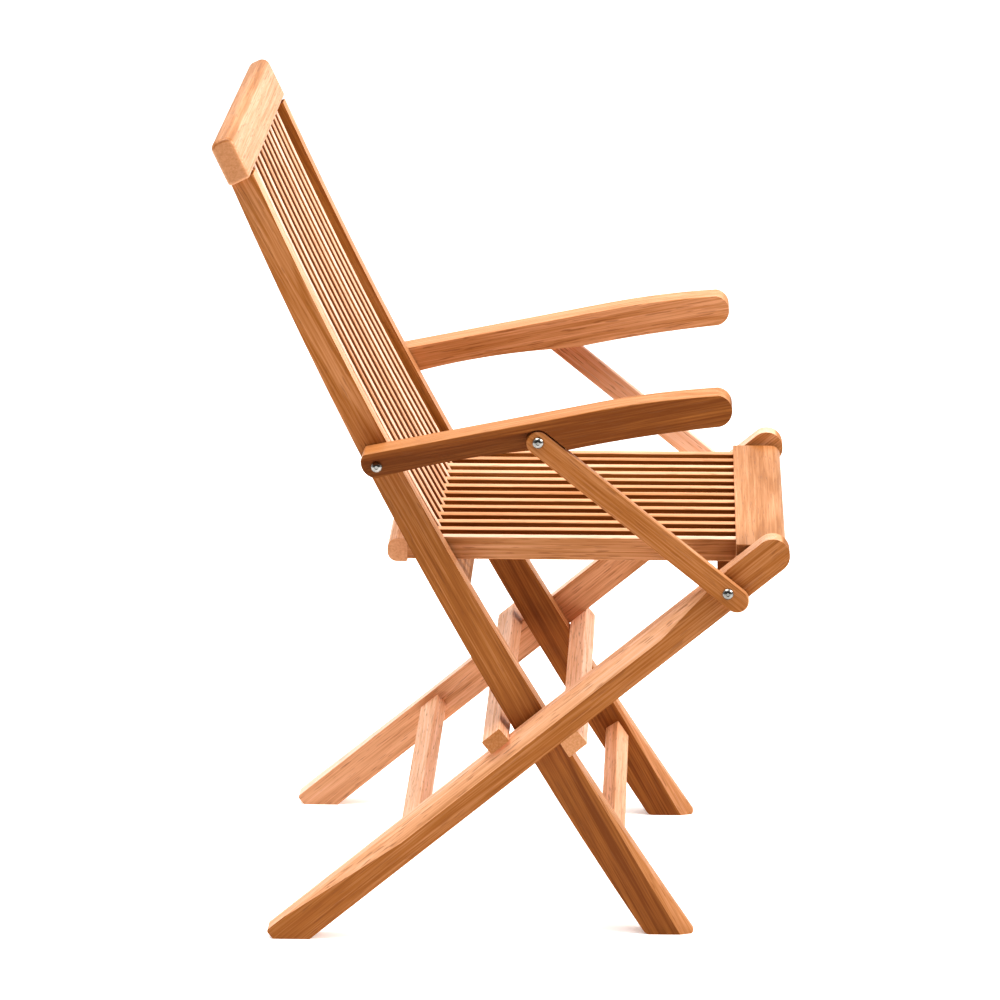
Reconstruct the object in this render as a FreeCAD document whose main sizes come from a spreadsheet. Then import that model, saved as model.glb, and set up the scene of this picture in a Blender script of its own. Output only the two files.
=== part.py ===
import FreeCAD, Part
import math
import os
import re

import Sketcher

# Folding garden armchair in slatted teak.
# X runs across the chair, the front is -Y, Z is up and the floor is Z = 0.
# The back frame (curved stiles) and the leg frame (straight legs) cross at one
# pivot and form an X in side view.  Every size is kept in the sheet "Sizes".

SIZES = {
    # across the chair
    "stile_inner_x": 210.0, "stile_thick": 28.0,
    "leg_inner_x": 239.5, "leg_thick": 28.0,
    "brace_inner_x": 269.0, "brace_thick": 11.0,
    "arm_wide": 41.5, "arm_rebate_deep": 13.0,
    "slat_pitch": 33.2, "slat_thick": 12.0,
    "crest_long": 520.0,
    # pivots in side view
    "cross_y": -36.5, "cross_z": 232.0,
    "arm_pivot_y": 137.5, "arm_pivot_z": 541.0,
    "brace_top_y": -38.5, "brace_top_z": 572.0,
    "seat_pivot_reach": 317.4,
    # legs, measured along the leg from the crossing pivot
    "leg_slope": 39.5, "leg_wide": 38.0,
    "leg_front_reach": 334.0, "leg_rear_reach": 373.0,
    "leg_foot_round": 3.0,
    "leg_bevel": 10.0, "leg_bevel_start": 285.0, "leg_bevel_full": 180.0,
    "leg_bevel_fade": 190.0, "leg_bevel_end": 345.0, "leg_bevel_least": 0.3,
    "bevel_drop": 1.6, "bevel_knee": 0.45,
    # curves of the back: arcs about far centres in front of the chair
    "face_centre_y": -4320.0, "face_centre_z": 2885.4, "face_radius": 5018.3,
    "rear_centre_y": -4562.0, "rear_centre_z": 2902.2, "rear_radius": 5273.8,
    "stile_heel_round": 8.0, "stile_toe_round": 3.0,
    "stile_bevel": 11.0, "stile_bevel_top": 205.0,
    # crest rail
    "crest_rear_y": 295.0, "crest_rear_z": 847.4, "crest_lean": 25.5,
    "crest_thick": 26.0, "crest_high": 51.0, "crest_top_round": 9.5,
    # back slats
    "slat_setback": 7.0, "slat_deep": 16.0,
    # lower back rail and front stretcher
    "rail_y": 38.0, "rail_z": 385.0, "rail_lean": 29.7,
    "rail_thick": 22.0, "rail_high": 39.0,
    "stretcher_y": -134.5, "stretcher_z": 97.0, "stretcher_lean": 33.6,
    "stretcher_thick": 18.0, "stretcher_high": 24.0,
    # stretchers of the leg frame, measured along and above the leg centre line
    "rear_stop_start": 22.5, "rear_stop_end": 47.7, "rear_stop_high": 17.5,
    "front_stop_end": 42.7, "front_stop_top": 18.9, "front_stop_low": 16.4,
    "front_stop_high": 18.6,
    "rear_stretcher_start": 160.0, "rear_stretcher_end": 187.0,
    "rear_stretcher_low": -5.0, "rear_stretcher_top": 12.0,
    # seat
    "seat_top": 448.0, "seat_bottom": 422.0, "seat_rail_top": 449.0,
    "seat_front_y": -309.5, "seat_slat_front_y": -254.5,
    "seat_slat_rear_y": 107.5, "seat_rear_y": 129.5,
    "seat_front_round": 10.0, "seat_rail_half": 234.0,
    "seat_side_offset": 199.2,
    "rear_rail_low": 419.0, "rear_rail_top": 445.0, "rear_rail_round": 11.0,
    "cleat_front_y": -280.5, "cleat_rear_y": -234.5, "cleat_low": 408.0,
    "cleat_half": 193.0,
    # armrest outline
    "arm_rear_y": 150.0, "arm_rear_top": 558.0, "arm_rear_low_y": 137.0, "arm_rear_low": 528.5,
    "arm_bend_y": -105.0, "arm_bend_top": 609.5,
    "arm_nose_y": -232.0, "arm_nose_top": 626.5, "arm_nose_low_y": -235.5, "arm_nose_low": 592.0,
    "arm_mid_y": -72.5, "arm_mid_low": 565.0, "arm_hollow_y": -27.5, "arm_hollow_low": 560.5,
    "arm_end_round": 17.6, "arm_top_curve": 1000.0, "arm_low_curve": 1600.0,
    "arm_rear_curve": 900.0,
    "ledge_rear_y": 170.0, "ledge_rear_z": 546.5, "ledge_front_y": -31.0,
    "rebate_round": 14.5,
    # braces
    "brace_wide": 26.0, "brace_slope": 38.94, "brace_reach": 266.5, "brace_long": 279.5,
    # pins, bolts and washers
    "pin_wide": 10.0, "pin_depth": 20.0,
    "bolt_wide": 8.0, "bolt_head_wide": 12.0, "bolt_head_high": 3.6,
    "bolt_recess_wide": 4.0, "bolt_recess_deep": 1.4,
    "fit_clearance": 0.05, "joint_gap": 0.1, "washer_wide": 22.0, "washer_thick": 1.2,
    "edge_round": 1.6, "slat_edge_round": 2.0,
}

doc = FreeCAD.newDocument("folding_armchair")
sheet = doc.addObject("Spreadsheet::Sheet", "Sizes")
for row, (alias, number) in enumerate(SIZES.items(), start=1):
    sheet.set("A%d" % row, alias)
    sheet.set("B%d" % row, "%g" % number)
    sheet.setAlias("B%d" % row, alias)
doc.recompute()

NAME = re.compile(r"[a-z_][a-z_0-9]*")
parts_made = []


def formula(text):
    """Point every size name in a formula at the sheet."""
    def point_at(match):
        word = match.group(0)
        return "Sizes." + word if word in SIZES else word
    return NAME.sub(point_at, str(text))


def number(text):
    """Value of a formula in millimetres or degrees."""
    return float(sheet.evalExpression(str(text)))


def new_part(label):
    body = doc.addObject("PartDesign::Body", label)
    body.Label = label
    parts_made.append(body)
    return body


def plane(body, role):
    for feature in body.Origin.OriginFeatures:
        if feature.Role == role:
            return feature
    raise RuntimeError("no plane " + role)


def new_sketch(body, role, shift=(0, 0, 0), turn="0", tilt="0"):
    """Sketch on an origin plane, moved, turned in it and tilted by size formulas."""
    sketch = body.newObject("Sketcher::SketchObject", body.Label + "_outline")
    sketch.AttachmentSupport = [(plane(body, role), "")]
    sketch.MapMode = "FlatFace"
    values = [number(item) for item in shift]
    turned = FreeCAD.Rotation(FreeCAD.Vector(0, 0, 1), number(turn))
    if number(tilt):
        turned = FreeCAD.Rotation(FreeCAD.Vector(1, 0, 0), number(tilt))
    sketch.AttachmentOffset = FreeCAD.Placement(FreeCAD.Vector(*values), turned)
    for axis, item in zip("xyz", shift):
        sketch.setExpression("AttachmentOffset.Base." + axis, formula(item))
    return sketch


def fix_point(sketch, item, end, across, up):
    """Tie one point of an outline to its two size formulas."""
    for kind, text in (("DistanceX", across), ("DistanceY", up)):
        value = number(text)
        index = sketch.addConstraint(Sketcher.Constraint(kind, -1, 1, item, end, value))
        sketch.setExpression("Constraints[%d]" % index, formula(text))


def draw(sketch, points):
    """Closed outline.  Each point is (across, up) or (across, up, radius, side).

    A radius makes the run to the next point an arc; side is +1 when the arc's
    centre lies to the left of that run and -1 when it lies to the right.
    """
    spots = [FreeCAD.Vector(number(p[0]), number(p[1]), 0) for p in points]
    count = len(points)
    starts = []
    ends = []
    for i, point in enumerate(points):
        here = spots[i]
        there = spots[(i + 1) % count]
        if len(point) == 2:
            item = sketch.addGeometry(Part.LineSegment(here, there), False)
            starts.append((item, 1))
            ends.append((item, 2))
            continue
        radius = number(point[2])
        chord = there - here
        middle = (here + there) * 0.5
        left = FreeCAD.Vector(-chord.y, chord.x, 0)
        left.normalize()
        rise = math.sqrt(radius ** 2 - (chord.Length / 2) ** 2)
        centre = middle + left * rise * point[3]
        first = math.atan2(here.y - centre.y, here.x - centre.x)
        last = math.atan2(there.y - centre.y, there.x - centre.x)
        circle = Part.Circle(centre, FreeCAD.Vector(0, 0, 1), radius)
        if point[3] > 0:
            item = sketch.addGeometry(Part.ArcOfCircle(circle, first, last), False)
            starts.append((item, 1))
            ends.append((item, 2))
        else:
            item = sketch.addGeometry(Part.ArcOfCircle(circle, last, first), False)
            starts.append((item, 2))
            ends.append((item, 1))
    for i in range(count):
        a = ends[i]
        b = starts[(i + 1) % count]
        sketch.addConstraint(Sketcher.Constraint("Coincident", a[0], a[1], b[0], b[1]))
    for i, point in enumerate(points):
        fix_point(sketch, starts[i][0], starts[i][1], point[0], point[1])
        if len(point) > 2:
            value = number(point[2])
            index = sketch.addConstraint(Sketcher.Constraint("Radius", starts[i][0], value))
            sketch.setExpression("Constraints[%d]" % index, formula(point[2]))
    doc.recompute()


def round_hole(sketch, across, up, wide):
    """Circle of the given width at a point of the sketch."""
    centre = FreeCAD.Vector(number(across), number(up), 0)
    radius = number(wide) / 2
    item = sketch.addGeometry(Part.Circle(centre, FreeCAD.Vector(0, 0, 1), radius), False)
    fix_point(sketch, item, 3, across, up)
    index = sketch.addConstraint(Sketcher.Constraint("Diameter", item, 2 * radius))
    sketch.setExpression("Constraints[%d]" % index, formula(wide))


def pad(body, sketch, length, centred=False):
    feature = body.newObject("PartDesign::Pad", body.Label + "_pad")
    feature.Profile = sketch
    feature.Length = number(length)
    feature.setExpression("Length", formula(length))
    feature.Midplane = centred
    body.Tip = feature
    doc.recompute()
    return feature


def pocket(body, sketch, depth, backwards=False):
    """Cut a sketch into the body and make sure that something was removed."""
    before = body.Shape.Volume
    feature = body.newObject("PartDesign::Pocket", body.Label + "_cut")
    feature.Profile = sketch
    feature.Length = number(depth)
    feature.setExpression("Length", formula(depth))
    feature.Reversed = backwards
    body.Tip = feature
    doc.recompute()
    if body.Shape.Volume > before - 1.0:
        raise RuntimeError("the cut removed nothing from " + body.Label)
    return feature


def soften(body, radius, chosen):
    """Round the edges of the finished solid picked by the test `chosen`."""
    base = body.Tip
    names = []
    for i, edge in enumerate(base.Shape.Edges, start=1):
        if chosen(edge):
            names.append("Edge%d" % i)
    feature = body.newObject("PartDesign::Fillet", body.Label + "_edges")
    feature.Base = (base, names)
    feature.Radius = number(radius)
    feature.setExpression("Radius", formula(radius))
    body.Tip = feature
    doc.recompute()
    if not names or not body.Shape.isValid():
        raise RuntimeError("edges of " + body.Label)
    return feature


def spin(body, sketch):
    """Turn a half outline about the sketch's own horizontal axis."""
    feature = body.newObject("PartDesign::Revolution", body.Label + "_turned")
    feature.Profile = sketch
    feature.ReferenceAxis = (sketch, ["H_Axis"])
    feature.Angle = 360.0
    body.Tip = feature
    doc.recompute()
    return feature


def mirror_across(body):
    """Second solid of the node on the other side of the chair."""
    body.AllowCompound = True
    source = body.Tip
    feature = body.newObject("PartDesign::Mirrored", body.Label + "_pair")
    feature.Originals = [source]
    feature.MirrorPlane = (plane(body, "YZ_Plane"), [""])
    body.Tip = feature
    doc.recompute()
    return feature


def bevel_outline(face_x, inward, top, size, direction):
    """Corner to remove: a two-facet bevel of the given size.

    face_x is the side face, inward is -1 or +1 towards the wood, top the other
    face and direction -1 or +1 from that face into the wood.
    """
    out_x = "%s - (%d) * 2" % (face_x, inward)
    out_y = "%s - (%d) * 2" % (top, direction)
    in_x = "%s + (%d) * %s" % (face_x, inward, size)
    in_y = "%s + (%d) * bevel_drop * %s" % (top, direction, size)
    return [
        (out_x, out_y),
        (out_x, in_y),
        (face_x, in_y),
        ("%s + (%d) * bevel_knee * %s" % (face_x, inward, size),
         "%s + (%d) * bevel_knee * %s" % (top, direction, size)),
        (in_x, top),
        (in_x, out_y),
    ]


def cut_between(body, sketches):
    """Remove the straight-sided run through a row of outlines."""
    before = body.Shape.Volume
    feature = body.newObject("PartDesign::SubtractiveLoft", body.Label + "_bevel")
    feature.Profile = sketches[0]
    feature.Sections = sketches[1:]
    feature.Ruled = True
    body.Tip = feature
    doc.recompute()
    if body.Shape.Volume > before - 1.0 or not body.Shape.isValid():
        raise RuntimeError("bevel of " + body.Label)
    return feature


def same(a, b, slack=0.05):
    return abs(a - b) < slack


def runs_across(edge):
    """True for a straight edge parallel to X."""
    if edge.Curve.TypeId != "Part::GeomLine":
        return False
    return abs(edge.Curve.Direction.x) > 0.999


def at_x(edge, x):
    """True when the whole edge lies in the plane X = x."""
    box = edge.BoundBox
    return same(box.XMin, x) and same(box.XMax, x)


def side_start(side, inner, thick):
    """Formula of the smaller X of a member on the given side (-1 or +1)."""
    if side > 0:
        return inner
    return "-(%s) - (%s)" % (inner, thick)


SIDES = (("left", -1), ("right", 1))
RUN_WIDE = "bolt_wide + 2 * fit_clearance"
PIN_RUN_WIDE = "pin_wide + 2 * fit_clearance"


def face_y(up, depth="0"):
    """Y of the arc that lies `depth` behind the front face of the stiles."""
    return "face_centre_y + sqrt((face_radius + %s)^2 - (%s - face_centre_z)^2)" % (depth, up)


def rear_y(up):
    """Y of the rear face of the stiles."""
    return "rear_centre_y + sqrt(rear_radius^2 - (%s - rear_centre_z)^2)" % up


# ---------------------------------------------------------------- back frame
CREST_FRONT_Z = "(crest_rear_z + crest_thick * sin(crest_lean) - 2 * joint_gap)"


def make_stile(name, side):
    body = new_part("stile_" + name)
    start = side_start(side, "stile_inner_x", "stile_thick")
    sketch = new_sketch(body, "YZ_Plane", (0, 0, start))
    draw(sketch, [
        (face_y("0"), 0),
        (rear_y("0"), 0, "rear_radius", 1),
        (rear_y("crest_rear_z"), "crest_rear_z"),
        (face_y(CREST_FRONT_Z), CREST_FRONT_Z, "face_radius", -1),
    ])
    pad(body, sketch, "stile_thick")
    heel = number(rear_y("0"))
    toe = number(face_y("0"))
    soften(body, "stile_heel_round", lambda e: runs_across(e) and same(e.BoundBox.YMax, heel))
    soften(body, "stile_toe_round", lambda e: runs_across(e) and same(e.BoundBox.YMax, toe))
    for face in ("stile_inner_x", "(stile_inner_x + stile_thick)"):
        inward = side if face == "stile_inner_x" else -side
        face_x = "%d * %s" % (side, face)
        rows = []
        for up, size in (("stile_bevel_top", "leg_bevel_least"), ("-2", "stile_bevel")):
            row = new_sketch(body, "XY_Plane", (0, 0, up))
            draw(row, bevel_outline(face_x, inward, face_y(up), size, 1))
            rows.append(row)
        cut_between(body, rows)
    outer = "stile_inner_x + stile_thick"
    if side < 0:
        outer = "-(%s)" % outer
    holes = new_sketch(body, "YZ_Plane", (0, 0, outer))
    round_hole(holes, "cross_y", "cross_z", "pin_wide")
    round_hole(holes, "arm_pivot_y", "arm_pivot_z", "bolt_wide")
    doc.recompute()
    pocket(body, holes, "pin_depth", side < 0)


def make_crest():
    body = new_part("crest_rail")
    sketch = new_sketch(body, "YZ_Plane", ("crest_rear_y", "crest_rear_z", 0), "-crest_lean")
    draw(sketch, [
        ("-crest_thick", 0),
        (0, 0),
        (0, "crest_high"),
        ("-crest_thick", "crest_high"),
    ])
    pad(body, sketch, "crest_long", True)
    lift = number("crest_rear_z") + 20
    soften(body, "crest_top_round", lambda e: runs_across(e) and e.BoundBox.ZMin > lift)
    half = number("crest_long / 2")
    soften(body, "slat_edge_round * 2.6", lambda e: at_x(e, half) or at_x(e, -half))
    soften(body, "slat_edge_round * 2", lambda e: runs_across(e) and e.BoundBox.ZMax < lift)


def make_back_slat(index):
    body = new_part("back_slat_%02d" % (index + 1))
    middle = "(%g) * slat_pitch" % (index - 5.5)
    sketch = new_sketch(body, "YZ_Plane", (0, 0, "%s - slat_thick / 2" % middle))
    back = "(slat_setback + slat_deep)"
    low_front = "(rail_z + rail_high * cos(rail_lean) - 1.0 * sin(rail_lean) + joint_gap)"
    low_rear = "(%s - slat_deep * sin(rail_lean))" % low_front
    top_rear = "(crest_rear_z + (crest_thick - %s) * sin(crest_lean) - joint_gap)" % back
    top_front = "(crest_rear_z + (crest_thick - slat_setback) * sin(crest_lean) - 2 * joint_gap)"
    draw(sketch, [
        (face_y(low_front, "slat_setback"), low_front),
        (face_y(low_rear, back), low_rear, "face_radius + " + back, 1),
        (face_y(top_rear, back), top_rear),
        (face_y(top_front, "slat_setback"), top_front, "face_radius + slat_setback", -1),
    ])
    pad(body, sketch, "slat_thick")


def make_lower_rail():
    body = new_part("lower_back_rail")
    sketch = new_sketch(body, "YZ_Plane", ("rail_y", "rail_z", 0), "-rail_lean")
    draw(sketch, [
        (0, 0),
        ("rail_thick", 0),
        ("rail_thick", "rail_high"),
        (0, "rail_high"),
    ])
    pad(body, sketch, "2 * stile_inner_x", True)
    soften(body, "slat_edge_round", lambda e: runs_across(e))


def make_front_stretcher():
    body = new_part("front_stretcher")
    shift = ("stretcher_y", "stretcher_z", 0)
    sketch = new_sketch(body, "YZ_Plane", shift, "-stretcher_lean")
    draw(sketch, [
        (0, 0),
        ("stretcher_thick", 0),
        ("stretcher_thick", "stretcher_high"),
        (0, "stretcher_high"),
    ])
    pad(body, sketch, "2 * stile_inner_x", True)
    soften(body, "slat_edge_round", lambda e: runs_across(e))


# ----------------------------------------------------------------- leg frame
FLOOR_LOW = "(cross_z - leg_wide / 2 * cos(leg_slope)) / sin(leg_slope)"
FLOOR_END = "(leg_rear_reach * sin(leg_slope) - cross_z) / cos(leg_slope)"


def leg_sketch(body, start):
    """Sketch whose X runs down the leg to the rear foot and Y points up from it."""
    return new_sketch(body, "YZ_Plane", ("cross_y", "cross_z", start), "-leg_slope")


def make_leg(name, side):
    body = new_part("leg_" + name)
    start = side_start(side, "leg_inner_x", "leg_thick")
    half = "leg_wide / 2"
    outline = leg_sketch(body, start)
    draw(outline, [
        ("-leg_front_reach", half, half + " + 0.001", 1),
        ("-leg_front_reach", "-" + half),
        (FLOOR_LOW, "-" + half),
        ("leg_rear_reach", FLOOR_END),
        ("leg_rear_reach", half),
    ])
    pad(body, outline, "leg_thick")

    def tip(edge):
        return runs_across(edge) and 5 < edge.BoundBox.ZMax < 30 and edge.BoundBox.YMin > 200

    soften(body, "leg_foot_round", tip)
    face_x = "%d * (leg_inner_x + leg_thick)" % side
    rows = []
    for along, size in (
        ("-leg_bevel_start", "leg_bevel_least"),
        ("-leg_bevel_full", "leg_bevel"),
        ("leg_bevel_fade", "leg_bevel"),
        ("leg_bevel_end", "leg_bevel_least"),
    ):
        up = "cross_z - %s * sin(leg_slope)" % along
        back = "-(cross_y + %s * cos(leg_slope))" % along
        row = new_sketch(body, "XZ_Plane", (0, up, back), "0", "-leg_slope")
        draw(row, bevel_outline(face_x, -side, "leg_wide / 2", size, -1))
        rows.append(row)
    cut_between(body, rows)
    return body


def finish_leg(body, side):
    """Blind bores on the inner face: main pivot (running) and seat pin (tight)."""
    if side > 0:
        face = "leg_inner_x"
    else:
        face = "-leg_inner_x"
    main = leg_sketch(body, face)
    round_hole(main, 0, 0, PIN_RUN_WIDE)
    doc.recompute()
    pocket(body, main, "pin_depth + 1", side > 0)
    seat = leg_sketch(body, face)
    round_hole(seat, "-seat_pivot_reach", 0, "bolt_wide")
    doc.recompute()
    pocket(body, seat, "pin_depth", side > 0)


def make_bar(label, points, half_length):
    """Rail of the leg frame drawn in the leg's own axes."""
    body = new_part(label)
    sketch = leg_sketch(body, 0)
    draw(sketch, points)
    pad(body, sketch, "2 * (%s)" % half_length, True)
    return body


# ---------------------------------------------------------------------- seat
def make_seat_board(label, middle):
    body = new_part(label)
    sketch = new_sketch(body, "YZ_Plane", (0, 0, "%s - slat_thick / 2" % middle))
    draw(sketch, [
        ("seat_slat_front_y", "seat_bottom"),
        ("seat_slat_rear_y", "seat_bottom"),
        ("seat_slat_rear_y", "seat_top"),
        ("seat_slat_front_y", "seat_top"),
    ])
    pad(body, sketch, "slat_thick")
    soften(body, "edge_round", lambda e: e.BoundBox.YLength > 100)


def make_seat_front():
    body = new_part("seat_front_rail")
    sketch = new_sketch(body, "YZ_Plane", (0, 0, 0))
    draw(sketch, [
        ("seat_front_y", "seat_bottom"),
        ("seat_slat_front_y", "seat_bottom"),
        ("seat_slat_front_y", "seat_rail_top"),
        ("seat_front_y", "seat_rail_top"),
    ])
    pad(body, sketch, "2 * seat_rail_half", True)
    front = number("seat_front_y")
    rear = number("seat_slat_front_y")
    half = number("seat_rail_half")
    soften(body, "seat_front_round", lambda e: runs_across(e) and same(e.BoundBox.YMax, front))
    soften(body, "edge_round", lambda e: at_x(e, half) or at_x(e, -half))
    for side in (1, -1):
        bore = new_sketch(body, "YZ_Plane", (0, 0, "%d * seat_rail_half" % side))
        round_hole(bore, SEAT_PIVOT_Y, SEAT_PIVOT_Z, RUN_WIDE)
        doc.recompute()
        pocket(body, bore, "pin_depth + 1", side < 0)


def make_seat_rear():
    body = new_part("seat_rear_rail")
    sketch = new_sketch(body, "YZ_Plane", (0, 0, 0))
    draw(sketch, [
        ("seat_slat_rear_y", "rear_rail_low"),
        ("seat_rear_y", "rear_rail_low"),
        ("seat_rear_y", "rear_rail_top"),
        ("seat_slat_rear_y", "rear_rail_top"),
    ])
    pad(body, sketch, "2 * (seat_side_offset + slat_thick / 2)", True)
    rear = number("seat_rear_y")
    low = number("rear_rail_low")
    soften(body, "rear_rail_round", lambda e: runs_across(e) and same(e.BoundBox.YMax, rear))
    soften(body, "slat_edge_round", lambda e: runs_across(e) and same(e.BoundBox.ZMax, low))


def make_cleat():
    body = new_part("seat_front_cleat")
    sketch = new_sketch(body, "YZ_Plane", (0, 0, 0))
    draw(sketch, [
        ("cleat_front_y", "cleat_low"),
        ("cleat_rear_y", "cleat_low"),
        ("cleat_rear_y", "seat_bottom"),
        ("cleat_front_y", "seat_bottom"),
    ])
    pad(body, sketch, "2 * cleat_half", True)
    low = number("cleat_low")
    soften(body, "slat_edge_round", lambda e: runs_across(e) and same(e.BoundBox.ZMax, low))


SEAT_PIVOT_Y = "cross_y - seat_pivot_reach * cos(leg_slope)"
SEAT_PIVOT_Z = "cross_z + seat_pivot_reach * sin(leg_slope)"
BRACE_LOW_Y = "brace_top_y - brace_reach * cos(brace_slope)"
BRACE_LOW_Z = "brace_top_z - brace_reach * sin(brace_slope)"


# ------------------------------------------------------------ arms and braces
def make_arm(name, side):
    body = new_part("armrest_" + name)
    start = side_start(side, "leg_inner_x", "arm_wide")
    sketch = new_sketch(body, "YZ_Plane", (0, 0, start))
    draw(sketch, [
        ("arm_rear_y", "arm_rear_top"),
        ("arm_bend_y", "arm_bend_top", "arm_top_curve", 1),
        ("arm_nose_y", "arm_nose_top", "arm_end_round", 1),
        ("arm_nose_low_y", "arm_nose_low", "arm_low_curve", -1),
        ("arm_mid_y", "arm_mid_low"),
        ("arm_hollow_y", "arm_hollow_low", "arm_rear_curve", -1),
        ("arm_rear_low_y", "arm_rear_low", "arm_end_round", 1),
    ])
    pad(body, sketch, "arm_wide")
    if side > 0:
        outer = "leg_inner_x + arm_wide"
    else:
        outer = "-leg_inner_x - arm_wide"
    rebate = new_sketch(body, "YZ_Plane", (0, 0, outer))
    ledge_end = "brace_top_z + sqrt(rebate_round^2 - (ledge_front_y - brace_top_y)^2)"
    edge_y = "brace_top_y - rebate_round * sin(brace_slope)"
    edge_z = "brace_top_z + rebate_round * cos(brace_slope)"
    draw(rebate, [
        ("ledge_rear_y", "ledge_rear_z"),
        ("ledge_front_y", ledge_end, "rebate_round", 1),
        (edge_y, edge_z),
        (edge_y + " - 60 * cos(brace_slope)", edge_z + " - 60 * sin(brace_slope)"),
        (edge_y + " - 60 * cos(brace_slope)", "brace_top_z - 80"),
        ("ledge_rear_y", "brace_top_z - 80"),
    ])
    pocket(body, rebate, "arm_rebate_deep", side < 0)
    inner = number("leg_inner_x") * side
    rim = number(outer)

    def upper(edge):
        box = edge.BoundBox
        on_rim = at_x(edge, inner) or at_x(edge, rim)
        return on_rim and box.YLength > 90 and box.ZMax > number("arm_bend_top") - 1

    soften(body, "slat_edge_round * 0.6", upper)
    if side > 0:
        start_inner = "leg_inner_x"
    else:
        start_inner = "-leg_inner_x"
    turn = new_sketch(body, "YZ_Plane", (0, 0, start_inner))
    round_hole(turn, "arm_pivot_y", "arm_pivot_z", RUN_WIDE)
    doc.recompute()
    pocket(body, turn, "arm_wide", side > 0)
    floor = "leg_inner_x + arm_wide - arm_rebate_deep"
    if side < 0:
        floor = "-(%s)" % floor
    tight = new_sketch(body, "YZ_Plane", (0, 0, floor))
    round_hole(tight, "brace_top_y", "brace_top_z", "bolt_wide")
    doc.recompute()
    pocket(body, tight, "pin_depth", side < 0)


def make_brace(name, side):
    body = new_part("arm_brace_" + name)
    start = side_start(side, "brace_inner_x", "brace_thick")
    shift = ("brace_top_y", "brace_top_z", start)
    sketch = new_sketch(body, "YZ_Plane", shift, "brace_slope")
    half = "brace_wide / 2"
    draw(sketch, [
        (0, half, half + " + 0.001", -1),
        (0, "-" + half),
        ("-brace_long", "-" + half, half + " + 0.001", -1),
        ("-brace_long", half),
    ])
    pad(body, sketch, "brace_thick")
    soften(body, "edge_round", lambda e: not runs_across(e))
    holes = new_sketch(body, "YZ_Plane", shift, "brace_slope")
    round_hole(holes, 0, 0, RUN_WIDE)
    round_hole(holes, "-brace_reach", 0, "bolt_wide")
    doc.recompute()
    pocket(body, holes, "brace_thick", True)


# ----------------------------------------------------------- pins and washers
def turned_pin(label, at_y, at_z, profile, both_sides):
    """Round piece on an axis across the chair; the profile is (x, radius)."""
    body = new_part(label)
    sketch = new_sketch(body, "XY_Plane", (0, at_y, at_z))
    draw(sketch, profile)
    spin(body, sketch)
    if both_sides:
        mirror_across(body)
    return body


def washer(label, at_y, at_z, inner_x, hole, thick):
    return turned_pin(label, at_y, at_z, [
        (inner_x, "(%s) / 2" % hole),
        ("%s + %s" % (inner_x, thick), "(%s) / 2" % hole),
        ("%s + %s" % (inner_x, thick), "washer_wide / 2"),
        (inner_x, "washer_wide / 2"),
    ], True)


def dome_bolt(label, at_y, at_z, tip_x, seat_x, side, both_sides):
    """Domed bolt: shank from tip_x to seat_x, head outside seat_x, small recess."""
    sign = "%d * " % side
    flat = "(%s + bolt_head_high)" % seat_x
    rim = "(%s + bolt_head_high * 0.25)" % seat_x
    recess = "(%s + bolt_head_high - bolt_recess_deep)" % seat_x
    radius = "(bolt_head_wide / 2)"
    dome = "bolt_head_wide * 0.62"
    points = [
        (sign + "(%s)" % tip_x, 0),
        (sign + recess, 0),
        (sign + recess, "bolt_recess_wide / 2"),
        (sign + flat, "bolt_recess_wide / 2", dome, 1),
        (sign + rim, radius),
        (sign + "(%s)" % seat_x, radius),
        (sign + "(%s)" % seat_x, "bolt_wide / 2"),
        (sign + "(%s)" % tip_x, "bolt_wide / 2"),
    ]
    if side < 0:
        points[3] = points[3][:3] + (-1,)
    return turned_pin(label, at_y, at_z, points, both_sides)


# ------------------------------------------------------------------ assembly
for name, side in SIDES:
    make_stile(name, side)
make_crest()
for index in range(12):
    make_back_slat(index)
make_lower_rail()
make_front_stretcher()

for name, side in SIDES:
    leg = make_leg(name, side)
    finish_leg(leg, side)
HALF = "leg_wide / 2"
OUTER = "leg_inner_x + leg_thick"
rear_stop = make_bar("stop_stretcher_rear", [
    ("rear_stop_start", HALF),
    ("rear_stop_end", HALF),
    ("rear_stop_end", HALF + " + rear_stop_high"),
    ("rear_stop_start", HALF + " + rear_stop_high"),
], OUTER)
front_stop = make_bar("stop_stretcher_front", [
    ("-front_stop_end", "-" + HALF),
    ("-front_stop_end", "-%s - front_stop_high" % HALF),
    ("-front_stop_low", "-%s - front_stop_high" % HALF),
    ("-front_stop_top", "-" + HALF),
], OUTER)
low_bar = make_bar("rear_stretcher", [
    ("rear_stretcher_start", "rear_stretcher_low"),
    ("rear_stretcher_end", "rear_stretcher_low"),
    ("rear_stretcher_end", "rear_stretcher_top"),
    ("rear_stretcher_start", "rear_stretcher_top"),
], "leg_inner_x")
for bar in (rear_stop, front_stop, low_bar):
    soften(bar, "edge_round", lambda e: runs_across(e))

make_seat_front()
make_seat_rear()
make_seat_board("seat_side_rail_left", "-seat_side_offset")
make_seat_board("seat_side_rail_right", "seat_side_offset")
for index in range(11):
    make_seat_board("seat_slat_%02d" % (index + 1), "(%d) * slat_pitch" % (index - 5))
make_cleat()

for name, side in SIDES:
    make_arm(name, side)
    make_brace(name, side)

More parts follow.
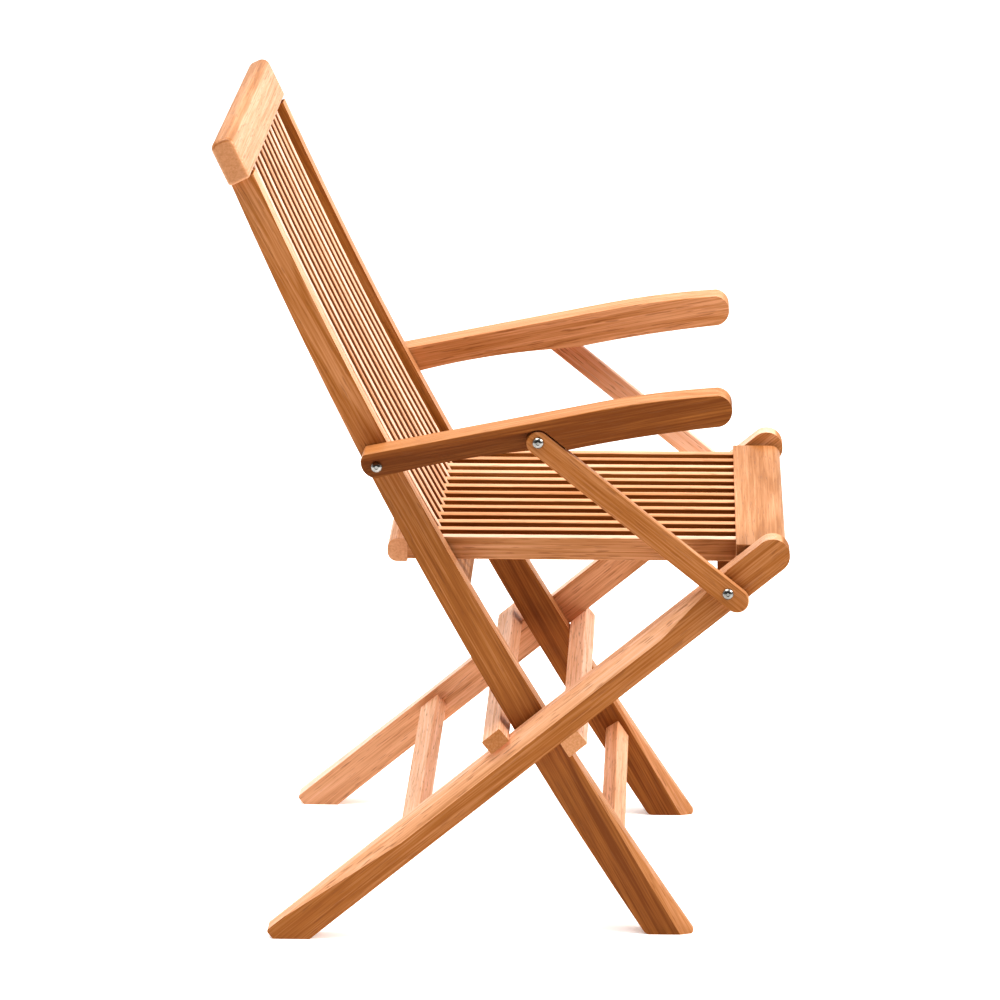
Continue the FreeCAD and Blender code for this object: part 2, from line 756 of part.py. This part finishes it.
STILE_OUTER = "stile_inner_x + stile_thick"
PIN_START = "(%s - pin_depth)" % STILE_OUTER
turned_pin("frame_pivot_pins", "cross_y", "cross_z", [
    (PIN_START, 0),
    ("leg_inner_x + pin_depth", 0),
    ("leg_inner_x + pin_depth", "pin_wide / 2"),
    (PIN_START, "pin_wide / 2"),
], True)
washer("frame_pivot_washers", "cross_y", "cross_z", STILE_OUTER, "pin_wide", "washer_thick")
washer("arm_pivot_washers", "arm_pivot_y", "arm_pivot_z", STILE_OUTER, "bolt_wide", "washer_thick")
turned_pin("seat_pivot_pins", SEAT_PIVOT_Y, SEAT_PIVOT_Z, [
    ("seat_rail_half - pin_depth", 0),
    ("leg_inner_x + pin_depth", 0),
    ("leg_inner_x + pin_depth", "bolt_wide / 2"),
    ("seat_rail_half - pin_depth", "bolt_wide / 2"),
], True)
washer("seat_spacers", SEAT_PIVOT_Y, SEAT_PIVOT_Z, "(seat_rail_half + 0.4)", "bolt_wide",
       "(leg_inner_x - seat_rail_half - 0.4)")
ARM_FLOOR = "leg_inner_x + arm_wide - arm_rebate_deep"
dome_bolt("arm_pivot_bolts", "arm_pivot_y", "arm_pivot_z", PIN_START,
          "(%s + 0.4)" % ARM_FLOOR, 1, True)
BRACE_OUTER = "brace_inner_x + brace_thick"
for name, side in SIDES:
    dome_bolt("brace_bolt_upper_" + name, "brace_top_y", "brace_top_z",
              ARM_FLOOR + " - pin_depth", "(%s + 0.4)" % BRACE_OUTER, side, False)
    dome_bolt("brace_bolt_lower_" + name, BRACE_LOW_Y, BRACE_LOW_Z,
              "brace_inner_x", "(%s)" % BRACE_OUTER, side, False)

# ------------------------------------------------------------ check and write
doc.recompute()
for item in doc.Objects:
    if "Invalid" in item.State or "Error" in item.State:
        raise RuntimeError("%s is not sound: %s" % (item.Label, item.State))
os.makedirs("parts", exist_ok=True)
for body in parts_made:
    if body.Shape.isNull() or not body.Shape.isValid() or not body.Shape.Solids:
        raise RuntimeError("no sound shape in " + body.Label)
    body.Shape.exportStep("parts/%s.step" % body.Label)
    box = body.Shape.BoundBox
    print("%-26s solids %d  volume %9.0f  x %7.1f %7.1f  y %7.1f %7.1f  z %6.1f %6.1f" % (
        body.Label, len(body.Shape.Solids), body.Shape.Volume,
        box.XMin, box.XMax, box.YMin, box.YMax, box.ZMin, box.ZMax))
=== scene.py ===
import math
import random

import bpy
from mathutils import Matrix, Vector

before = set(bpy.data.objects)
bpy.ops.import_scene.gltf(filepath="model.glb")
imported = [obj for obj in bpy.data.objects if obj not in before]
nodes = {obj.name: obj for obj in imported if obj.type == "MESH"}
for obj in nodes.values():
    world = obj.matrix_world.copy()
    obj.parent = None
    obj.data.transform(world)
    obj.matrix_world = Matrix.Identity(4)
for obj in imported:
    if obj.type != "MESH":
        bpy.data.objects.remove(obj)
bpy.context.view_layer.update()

scene = bpy.context.scene


# ---------------------------------------------------------------- node helpers
class Graph:
    """Small helper that adds and links nodes in one tree."""

    def __init__(self, tree):
        self.tree = tree

    def add(self, kind, **settings):
        node = self.tree.nodes.new(kind)
        for name, value in settings.items():
            setattr(node, name, value)
        return node

    def link(self, source, target):
        self.tree.links.new(source, target)

    def feed(self, socket, value):
        """Link a socket to another, or set it to a plain value."""
        if isinstance(value, bpy.types.NodeSocket):
            self.link(value, socket)
        else:
            socket.default_value = value

    def math(self, operation, a, b=0.0):
        node = self.add("ShaderNodeMath", operation=operation)
        self.feed(node.inputs[0], a)
        self.feed(node.inputs[1], b)
        return node.outputs[0]

    def noise(self, vector, scale, detail=3.0, rough=0.5):
        node = self.add("ShaderNodeTexNoise")
        self.link(vector, node.inputs["Vector"])
        node.inputs["Scale"].default_value = scale
        node.inputs["Detail"].default_value = detail
        node.inputs["Roughness"].default_value = rough
        return node.outputs["Fac"]

    def stretch(self, vector, amounts):
        """Scale a vector, so that a noise on it gets long along the small amounts."""
        node = self.add("ShaderNodeVectorMath", operation="MULTIPLY")
        self.link(vector, node.inputs[0])
        node.inputs[1].default_value = amounts
        return node.outputs[0]

    def ramp(self, factor, stops):
        """Colour ramp from (place, colour) stops."""
        node = self.add("ShaderNodeValToRGB")
        self.link(factor, node.inputs["Fac"])
        ramp = node.color_ramp
        while len(ramp.elements) < len(stops):
            ramp.elements.new(0.5)
        for element, (place, colour) in zip(ramp.elements, stops):
            element.position = place
            element.color = (*colour, 1.0)
        return node.outputs["Color"]

    def span(self, value, low, high, to_low=0.0, to_high=1.0):
        """Smooth step of a value from one range into another."""
        node = self.add("ShaderNodeMapRange", interpolation_type="SMOOTHSTEP")
        self.link(value, node.inputs["Value"])
        node.inputs["From Min"].default_value = low
        node.inputs["From Max"].default_value = high
        node.inputs["To Min"].default_value = to_low
        node.inputs["To Max"].default_value = to_high
        return node.outputs["Result"]

    def mix(self, factor, a, b):
        node = self.add("ShaderNodeMix", data_type="RGBA")
        self.feed(node.inputs["Factor"], factor)
        self.feed(node.inputs[6], a)
        self.feed(node.inputs[7], b)
        return node.outputs[2]


# ------------------------------------------------------------------ teak group
# colours of oiled teak from the palest board (0) to the deepest (1)
TEAK_DEPTHS = [
    (0.00, (0.860, 0.575, 0.430)),
    (0.25, (0.720, 0.395, 0.232)),
    (0.50, (0.500, 0.238, 0.105)),
    (0.75, (0.335, 0.128, 0.026)),
    (1.00, (0.190, 0.056, 0.005)),
]
PORE_BROWN = (0.215, 0.080, 0.024, 1.0)
VEIN_BROWN = (0.170, 0.058, 0.016, 1.0)
# share of each pattern in the depth of colour, and the middle of their sum
LATE_SHARE = 0.11
FIBRE_SHARE = 0.66
STREAK_SHARE = 0.40
DRIFT_SHARE = 0.28
FIGURE_MIDDLE = 0.69
# how strongly the marks and the sawn ends cover the plain board
PORE_COVER = 0.45
VEIN_COVER = 0.20
END_COVER = 0.92


def make_teak_group():
    """Oiled teak.  Vector is in metres with the grain along its X axis."""
    tree = bpy.data.node_groups.new("oiled_teak", "ShaderNodeTree")
    face = tree.interface
    face.new_socket("Vector", in_out="INPUT", socket_type="NodeSocketVector")
    face.new_socket("End", in_out="INPUT", socket_type="NodeSocketFloat")
    face.new_socket("Tone", in_out="INPUT", socket_type="NodeSocketFloat")
    face.new_socket("Soaked", in_out="INPUT", socket_type="NodeSocketFloat")
    face.new_socket("Colour", in_out="OUTPUT", socket_type="NodeSocketColor")
    face.new_socket("Rough", in_out="OUTPUT", socket_type="NodeSocketFloat")
    face.new_socket("Height", in_out="OUTPUT", socket_type="NodeSocketFloat")
    g = Graph(tree)
    source = g.add("NodeGroupInput")
    target = g.add("NodeGroupOutput")
    vector = source.outputs["Vector"]

    # growth layers: faint bands that wander along the grain
    wander = g.noise(g.stretch(vector, (1.8, 9.0, 9.0)), 1.0, 2.0, 0.5)
    shifted = g.add("ShaderNodeVectorMath", operation="MULTIPLY_ADD")
    g.link(wander, shifted.inputs[0])
    shifted.inputs[1].default_value = (0.0, 0.034, 0.026)
    g.link(g.stretch(vector, (0.03, 1.0, 0.7)), shifted.inputs[2])
    layers = shifted.outputs[0]
    rings = g.add("ShaderNodeTexWave", wave_type="RINGS", rings_direction="X")
    g.link(layers, rings.inputs["Vector"])
    rings.inputs["Scale"].default_value = 46.0
    rings.inputs["Distortion"].default_value = 2.2
    rings.inputs["Detail"].default_value = 2.0
    rings.inputs["Detail Scale"].default_value = 1.6
    late = g.span(rings.outputs["Fac"], 0.60, 1.0)
    ring_fade = g.span(g.noise(g.stretch(vector, (1.2, 30.0, 30.0)), 1.0, 1.0), 0.38, 0.66)
    late = g.math("MULTIPLY", late, ring_fade)

    # fibres, streaks, short pores, dark mineral lines and slow colour drift
    fibres = g.noise(g.stretch(vector, (9.0, 520.0, 520.0)), 1.0, 4.0, 0.62)
    streaks = g.noise(g.stretch(vector, (3.0, 130.0, 130.0)), 1.0, 3.0, 0.6)
    pores = g.noise(g.stretch(vector, (40.0, 640.0, 640.0)), 1.0, 1.0, 0.4)
    pore_mask = g.span(pores, 0.61, 0.70)
    vein = g.noise(g.stretch(vector, (3.2, 60.0, 60.0)), 1.0, 1.0, 0.4)
    vein = g.math("ABSOLUTE", g.math("SUBTRACT", vein, 0.5))
    vein_mask = g.span(vein, 0.0, 0.016, 1.0, 0.0)
    patchy = g.span(g.noise(g.stretch(vector, (5.0, 24.0, 24.0)), 1.0, 1.0), 0.50, 0.66)
    vein_mask = g.math("MULTIPLY", vein_mask, patchy)
    drift = g.noise(g.stretch(vector, (3.4, 14.0, 14.0)), 1.0, 2.0, 0.5)

    # depth of colour: the board's own tone plus the small differences in it
    figure = g.math("MULTIPLY", late, LATE_SHARE)
    figure = g.math("ADD", figure, g.math("MULTIPLY", fibres, FIBRE_SHARE))
    figure = g.math("ADD", figure, g.math("MULTIPLY", streaks, STREAK_SHARE))
    figure = g.math("ADD", figure, g.math("MULTIPLY", drift, DRIFT_SHARE))
    figure = g.math("SUBTRACT", figure, FIGURE_MIDDLE)
    depth = g.math("ADD", source.outputs["Tone"], figure)
    wood = g.ramp(depth, TEAK_DEPTHS)
    wood = g.mix(g.math("MULTIPLY", pore_mask, PORE_COVER), wood, PORE_BROWN)
    wood = g.mix(g.math("MULTIPLY", vein_mask, VEIN_COVER), wood, VEIN_BROWN)

    # sawn ends: a duller speckle instead of streaks
    speckle = g.noise(g.stretch(vector, (260.0, 420.0, 420.0)), 1.0, 3.0, 0.65)
    grit = g.math("MULTIPLY", g.math("SUBTRACT", speckle, 0.5), 0.45)
    soaked = g.math("ADD", source.outputs["Tone"], source.outputs["Soaked"])
    ends = g.ramp(g.math("ADD", soaked, grit), TEAK_DEPTHS)
    wood = g.mix(g.math("MULTIPLY", source.outputs["End"], END_COVER), wood, ends)
    g.link(wood, target.inputs["Colour"])

    rough = g.math("ADD", g.math("MULTIPLY", fibres, 0.22), 0.40)
    rough = g.math("ADD", rough, g.math("MULTIPLY", source.outputs["End"], 0.10))
    g.link(rough, target.inputs["Rough"])
    height = g.math("SUBTRACT", g.math("MULTIPLY", fibres, 0.7), pore_mask)
    height = g.math("SUBTRACT", height, g.math("MULTIPLY", late, 0.25))
    g.link(height, target.inputs["Height"])
    return tree


TEAK = make_teak_group()
SEED = 41
dice = random.Random(SEED)
# how squarely a face must look along the grain to count as a sawn end
END_FACING = (0.62, 0.92)
# how far a face must turn towards its board's lit direction to take its painted light
LIGHT_FACING_SPAN = (0.10, 0.42)


def grain_reach(name, along):
    """How far a board reaches both ways along its grain, in its own axes."""
    reaches = [corner.dot(along) for corner in (Vector(c) for c in nodes[name].bound_box)]
    return min(reaches), max(reaches)


def teak(name, grain, tone, lit_face_paint, soaked, gloss):
    """One board's material: its grain, offset, tone, painted light on the faces that turn
    to the light, and darker ends.
    """
    material = bpy.data.materials.new("teak_" + name)
    material.use_nodes = True
    tree = material.node_tree
    tree.nodes.clear()
    g = Graph(tree)
    along = Vector(grain).normalized()
    side = Vector((1.0, 0.0, 0.0))
    if abs(along.x) > 0.9:
        side = Vector((0.0, 0.0, 1.0))
    up = along.cross(side).normalized()
    side = up.cross(along).normalized()
    turn = Matrix((along, side, up)).to_euler()
    place = g.add("ShaderNodeTexCoord")
    mapping = g.add("ShaderNodeMapping")
    g.link(place.outputs["Object"], mapping.inputs["Vector"])
    mapping.inputs["Rotation"].default_value = turn
    # where in the tree the board was cut, so that no two boards look alike
    spot = (dice.uniform(-4, 4), dice.uniform(0.06, 0.16), dice.uniform(-0.09, 0.09))
    mapping.inputs["Location"].default_value = spot
    facing = g.add("ShaderNodeVectorMath", operation="DOT_PRODUCT")
    g.link(place.outputs["Normal"], facing.inputs[0])
    facing.inputs[1].default_value = along
    end = g.span(g.math("ABSOLUTE", facing.outputs["Value"]), *END_FACING)
    wood = g.add("ShaderNodeGroup", node_tree=TEAK)
    g.link(mapping.outputs["Vector"], wood.inputs["Vector"])
    g.link(end, wood.inputs["End"])
    wood.inputs["Soaked"].default_value = soaked
    if isinstance(tone, tuple):
        low, high = grain_reach(name, along)
        ahead = g.add("ShaderNodeVectorMath", operation="DOT_PRODUCT")
        g.link(place.outputs["Object"], ahead.inputs[0])
        ahead.inputs[1].default_value = along
        tone = g.span(ahead.outputs["Value"], low, high, tone[1], tone[0])
    # painted light: faces turned to the board's lit direction are made paler, or darker as
    # painted shade where the amount is below zero
    light_facing = g.add("ShaderNodeVectorMath", operation="DOT_PRODUCT")
    g.link(place.outputs["Normal"], light_facing.inputs[0])
    light_facing.inputs[1].default_value = lit_face_paint[0]
    painted_light_shift = g.span(light_facing.outputs["Value"], *LIGHT_FACING_SPAN, 0.0, lit_face_paint[1])
    g.link(g.math("SUBTRACT", tone, painted_light_shift), wood.inputs["Tone"])
    bump = g.add("ShaderNodeBump")
    bump.inputs["Strength"].default_value = 0.22
    bump.inputs["Distance"].default_value = 0.0006
    g.link(wood.outputs["Height"], bump.inputs["Height"])
    shader = g.add("ShaderNodeBsdfPrincipled")
    g.link(wood.outputs["Colour"], shader.inputs["Base Color"])
    g.link(wood.outputs["Rough"], shader.inputs["Roughness"])
    g.link(bump.outputs["Normal"], shader.inputs["Normal"])
    shader.inputs["Specular IOR Level"].default_value = gloss
    result = g.add("ShaderNodeOutputMaterial")
    g.link(shader.outputs["BSDF"], result.inputs["Surface"])
    return material


def steel():
    """Turned and lightly polished steel with faint scratches."""
    material = bpy.data.materials.new("turned_steel")
    material.use_nodes = True
    tree = material.node_tree
    tree.nodes.clear()
    g = Graph(tree)
    place = g.add("ShaderNodeTexCoord")
    fine = g.noise(g.stretch(place.outputs["Object"], (900.0, 260.0, 260.0)), 1.0, 3.0, 0.6)
    cloud = g.noise(place.outputs["Object"], 120.0, 2.0, 0.5)
    colour = g.ramp(cloud, [
        (0.3, (0.22, 0.215, 0.20)),
        (0.7, (0.39, 0.38, 0.36)),
    ])
    rough = g.math("ADD", g.math("MULTIPLY", fine, 0.16), 0.16)
    bump = g.add("ShaderNodeBump")
    bump.inputs["Strength"].default_value = 0.12
    bump.inputs["Distance"].default_value = 0.0002
    g.link(fine, bump.inputs["Height"])
    shader = g.add("ShaderNodeBsdfPrincipled")
    g.link(colour, shader.inputs["Base Color"])
    g.link(rough, shader.inputs["Roughness"])
    g.link(bump.outputs["Normal"], shader.inputs["Normal"])
    shader.inputs["Metallic"].default_value = 1.0
    result = g.add("ShaderNodeOutputMaterial")
    g.link(shader.outputs["BSDF"], result.inputs["Surface"])
    return material


STEEL = steel()
ACROSS = (1.0, 0.0, 0.0)
UPWARD = (0.0, 0.0, 1.0)
ALONG_SEAT = (0.0, 1.0, 0.0)
GRAINS = {
    "stile": (0.0, 0.481, 0.877),
    "back_slat": (0.0, 0.470, 0.882),
    "leg": (0.0, -0.772, 0.636),
    "seat_slat": ALONG_SEAT,
    "seat_side": ALONG_SEAT,
    "armrest": (0.0, -0.981, 0.195),
    "arm_brace": (0.0, -0.778, -0.629),
}
# tone of a board matched to the photograph, or two: towards its grain's end, and back
TONES = {
    "stile_left": (0.62, 0.89), "stile_right": (0.80, 0.90),
    "armrest_left": 0.97, "armrest_right": (0.48, 0.52),
    "leg_left": (0.71, 0.71), "leg_right": (0.52, 0.29),
    "arm_brace_left": (0.77, 0.69), "arm_brace_right": (0.13, 0.21),
    "seat_side_rail_left": 0.53, "lower_back_rail": 0.66,
    "crest_rail": 0.43, "seat_front_rail": 0.64, "seat_rear_rail": 0.27,
    "rear_stretcher": 0.22, "front_stretcher": 0.33,
    "stop_stretcher_rear": 0.16, "stop_stretcher_front": 0.20,
}
# faces painted paler where the light falls on them, matched to the photograph:
# the way they face, and how much paler they are (below zero is darker, painted shade)
PAINTED_LIGHT_FACES = {
    "stile": ((0.0, -0.877, 0.481), 0.35),
    "back_slat": ((0.0, -0.882, 0.470), 0.83),
    "leg": ((0.0, 0.636, 0.772), 0.48),
    "seat_slat": ((0.0, 0.0, 1.0), 0.55),
    "seat_side": ((0.0, 0.0, 1.0), 0.45),
    "armrest_right": ((0.0, 0.195, 0.981), 0.04),
    "armrest": ((0.0, 0.195, 0.981), 0.40),
    "arm_brace": ((0.0, -0.629, 0.778), 0.25),
    # painted shade: the crest's top is made darker
    "crest": ((0.0, 0.430, 0.900), -0.28),
}
# how much darker than the board its sawn ends are, matched to the photograph
SOAKED = {
    "stop_stretcher_rear": 0.54,
    "stop_stretcher_front": 0.28,
    "seat_rear_rail": 0.10,
}
# boards sanded smoother than the rest, by specular level
SMOOTHER = {"crest_rail": 0.75, "seat_front_rail": 0.70, "back_slat": 0.65}
# what the boards outside these tables get
PLAIN_SOAKED = 0.14
PLAIN_GLOSS = 0.28
PLAIN_TONES = (0.72, 1.05)
# painted shade: how much darker the back slats are than the plain boards, for the shade in
# the gaps between them
SLAT_PAINTED_SHADE = 0.16


def by_start(table, name, otherwise):
    """Entry of the first key that the name starts with."""
    for start, entry in table.items():
        if name.startswith(start):
            return entry
    return otherwise


METAL_WORDS = ("pin", "bolt", "washer", "spacer")
for name in sorted(nodes):
    item = nodes[name]
    if any(word in name for word in METAL_WORDS):
        material = STEEL
    else:
        tone = TONES.get(name, dice.uniform(*PLAIN_TONES))
        grain = by_start(GRAINS, name, ACROSS)
        # painted light: which way each board's lit faces turn, and how much paler they are
        # painted
        lit_face_paint = by_start(PAINTED_LIGHT_FACES, name, (UPWARD, 0.0))
        # painted shade: back slats are darkened for the shade between them
        if name.startswith("back_slat"):
            tone += SLAT_PAINTED_SHADE
        soaked = by_start(SOAKED, name, PLAIN_SOAKED)
        gloss = by_start(SMOOTHER, name, PLAIN_GLOSS)
        material = teak(name, grain, tone, lit_face_paint, soaked, gloss)
    item.data.materials.clear()
    item.data.materials.append(material)


# --------------------------------------------------------------- softened edges
STILE_EDGE = 0.0022
SLAT_EDGE = 0.0016
WELD_REACH = 0.00002
BACK_SLATS = 12


def soften(name, width):
    """Round the long edges of a sharp board without touching its mesh."""
    item = nodes[name]
    weld = item.modifiers.new("weld", "WELD")
    weld.merge_threshold = WELD_REACH
    bevel = item.modifiers.new("edge", "BEVEL")
    bevel.width = width
    bevel.segments = 3
    bevel.limit_method = "ANGLE"
    bevel.angle_limit = math.radians(40)
    bevel.harden_normals = True


for side in ("left", "right"):
    soften("stile_" + side, STILE_EDGE)
for index in range(1, BACK_SLATS + 1):
    soften("back_slat_%02d" % index, SLAT_EDGE)


# ---------------------------------------------------------------- floor, lights
FLOOR_HALF = 30.0
FLOOR_GLOW = 0.20
SOFTBOX_SIZE = 1.8
WHITE = (1.0, 1.0, 1.0, 1.0)


def make_floor():
    """Pale floor with a little glow of its own, which keeps the shadows faint."""
    half = FLOOR_HALF
    mesh = bpy.data.meshes.new("floor")
    mesh.from_pydata(
        [(-half, -half, 0), (half, -half, 0), (half, half, 0), (-half, half, 0)],
        [], [(0, 1, 2, 3)])
    floor = bpy.data.objects.new("floor", mesh)
    scene.collection.objects.link(floor)
    material = bpy.data.materials.new("pale_floor")
    material.use_nodes = True
    g = Graph(material.node_tree)
    shader = material.node_tree.nodes["Principled BSDF"]
    place = g.add("ShaderNodeTexCoord")
    mottle = g.noise(place.outputs["Object"], 3.0, 2.0, 0.5)
    colour = g.ramp(mottle, [(0.2, (0.95, 0.95, 0.95)), (0.8, (0.97, 0.97, 0.97))])
    g.link(colour, shader.inputs["Base Color"])
    shader.inputs["Roughness"].default_value = 0.9
    shader.inputs["Specular IOR Level"].default_value = 0.1
    shader.inputs["Emission Color"].default_value = WHITE
    shader.inputs["Emission Strength"].default_value = FLOOR_GLOW
    mesh.materials.append(material)


def softbox(name, spot, aim, power):
    """Square soft light of SOFTBOX_SIZE that looks at a point."""
    light = bpy.data.lights.new(name, "AREA")
    light.shape = "SQUARE"
    light.size = SOFTBOX_SIZE
    light.energy = power
    item = bpy.data.objects.new(name, light)
    scene.collection.objects.link(item)
    item.location = spot
    toward = Vector(aim) - Vector(spot)
    item.rotation_euler = toward.to_track_quat("-Z", "Y").to_euler()


def make_backdrop():
    """White sweep behind the chair, dimmer towards the other side of the room."""
    world = bpy.data.worlds.new("studio")
    world.use_nodes = True
    g = Graph(world.node_tree)
    place = g.add("ShaderNodeTexCoord")
    toward = g.add("ShaderNodeVectorMath", operation="DOT_PRODUCT")
    g.link(place.outputs["Generated"], toward.inputs[0])
    toward.inputs[1].default_value = (0.85, 0.0, 0.53)
    glow = g.span(toward.outputs["Value"], -0.30, 0.35, 0.10, 0.90)
    sheet = world.node_tree.nodes["Background"]
    sheet.inputs["Color"].default_value = WHITE
    g.link(glow, sheet.inputs["Strength"])
    scene.world = world


make_floor()
make_backdrop()
softbox("key", (-0.9, -3.2, 3.0), (0.0, 0.0, 0.45), 88.0)
softbox("top", (-0.6, 0.8, 3.6), (0.0, 0.0, 0.4), 80.0)

# ----------------------------------------------------------------------- camera
camera = bpy.data.cameras.new("camera")
camera.lens = 198.0
camera.sensor_width = 36.0
camera.clip_end = 100.0
viewer = bpy.data.objects.new("camera", camera)
scene.collection.objects.link(viewer)
viewer.location = (-6.0722, -0.1928, 1.9531)
gaze = Vector((0.96973, 0.03273, -0.24190))
viewer.rotation_euler = gaze.to_track_quat("-Z", "Y").to_euler()
scene.camera = viewer
scene.view_settings.view_transform = "Standard"
scene.view_settings.look = "High Contrast"
